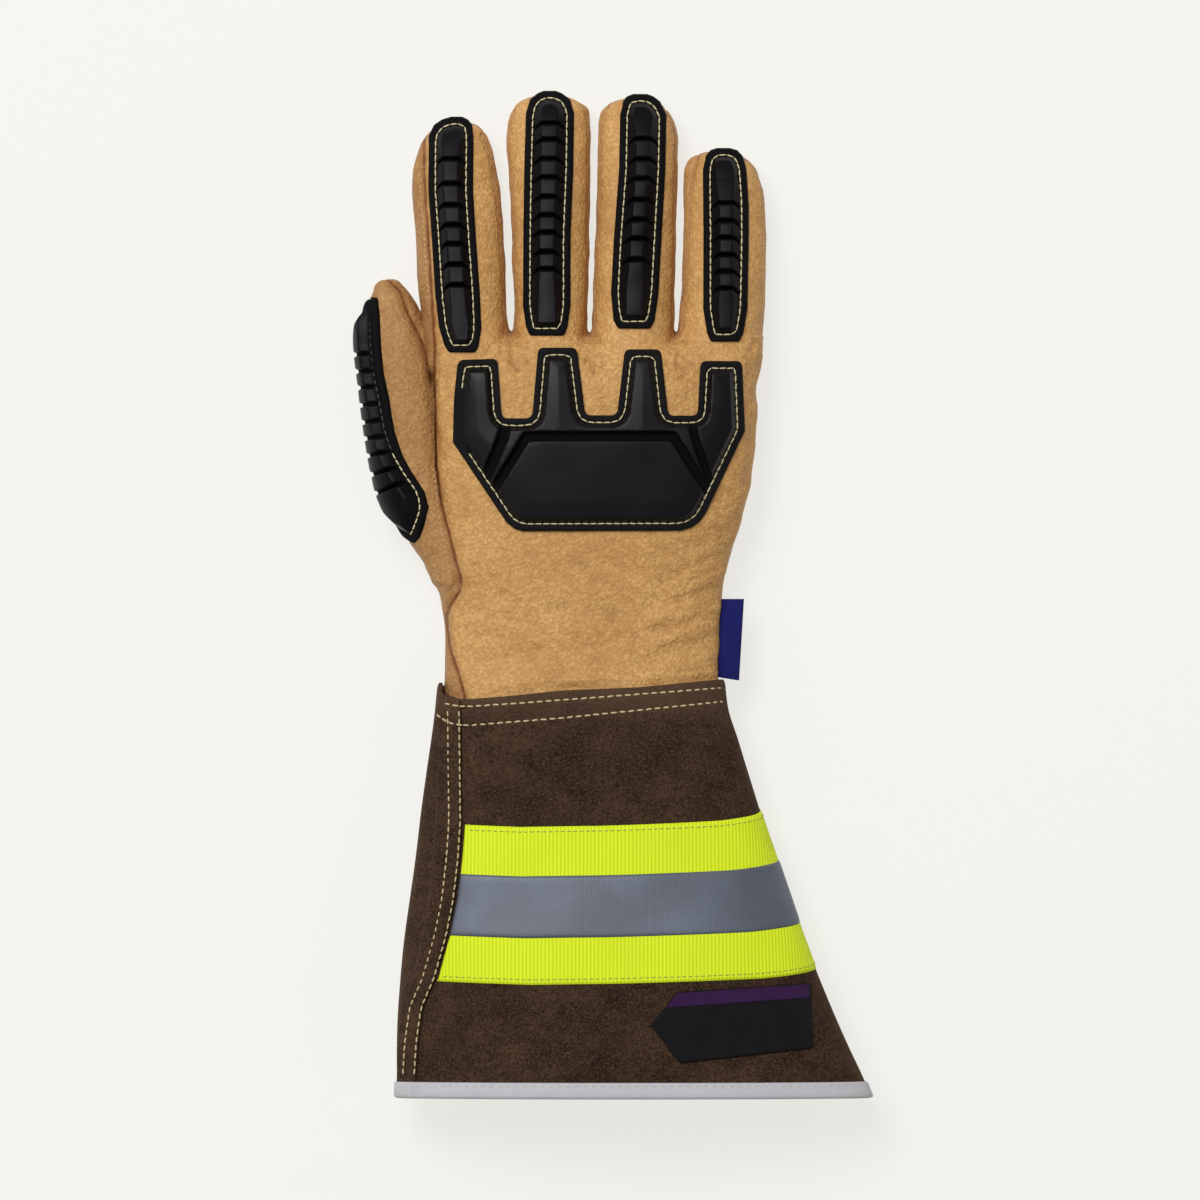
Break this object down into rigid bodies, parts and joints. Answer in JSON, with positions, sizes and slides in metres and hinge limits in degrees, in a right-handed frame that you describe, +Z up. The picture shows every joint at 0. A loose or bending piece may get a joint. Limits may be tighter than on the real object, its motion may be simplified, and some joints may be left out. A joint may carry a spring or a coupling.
{
  "type": "winter driver glove",
  "caption": "Right-hand winter driver glove in tan grain leather with moulded black impact guards and a brown suede gauntlet cuff with a lime and silver reflective band, lying palm down",
  "frame": {"origin": "bottom centre of the glove's box, on the surface that it lies on, palm down", "axes": "+Y to the finger tips, +Z up out of the back of the hand, +X to the little finger's side, so the thumb points to -X"},
  "size_m": [0.193, 0.3726, 0.0539],
  "materials": {
    "tan_leather": "matte",
    "brown_suede": "matte",
    "black_rubber": "satin",
    "lime_ribbon": "matte",
    "silver_strip": "satin",
    "pale_binding": "matte",
    "navy_tag": "matte",
    "black_patch": "matte"
  },
  "bodies": {
    "root": {"back_panel": "tan_leather", "back_index": "tan_leather", "back_middle": "tan_leather", "back_ring": "tan_leather", "back_little": "tan_leather", "palm_panel": "tan_leather", "palm_index": "tan_leather", "palm_middle": "tan_leather", "palm_ring": "tan_leather", "palm_little": "tan_leather", "gusset_index_middle": "tan_leather", "gusset_middle_ring": "tan_leather", "gusset_ring_little": "tan_leather", "thumb_shell": "tan_leather", "cuff_back": "brown_suede", "cuff_palm": "brown_suede", "reflective_ribbon": "lime_ribbon", "reflective_strip": "silver_strip", "hem_binding": "pale_binding", "knuckle_guard": "black_rubber", "finger_guard_index": "black_rubber", "finger_guard_middle": "black_rubber", "finger_guard_ring": "black_rubber", "finger_guard_little": "black_rubber", "thumb_guard": "black_rubber", "side_tag": "navy_tag", "label_patch": "black_patch"}
  },
  "joints": []
}
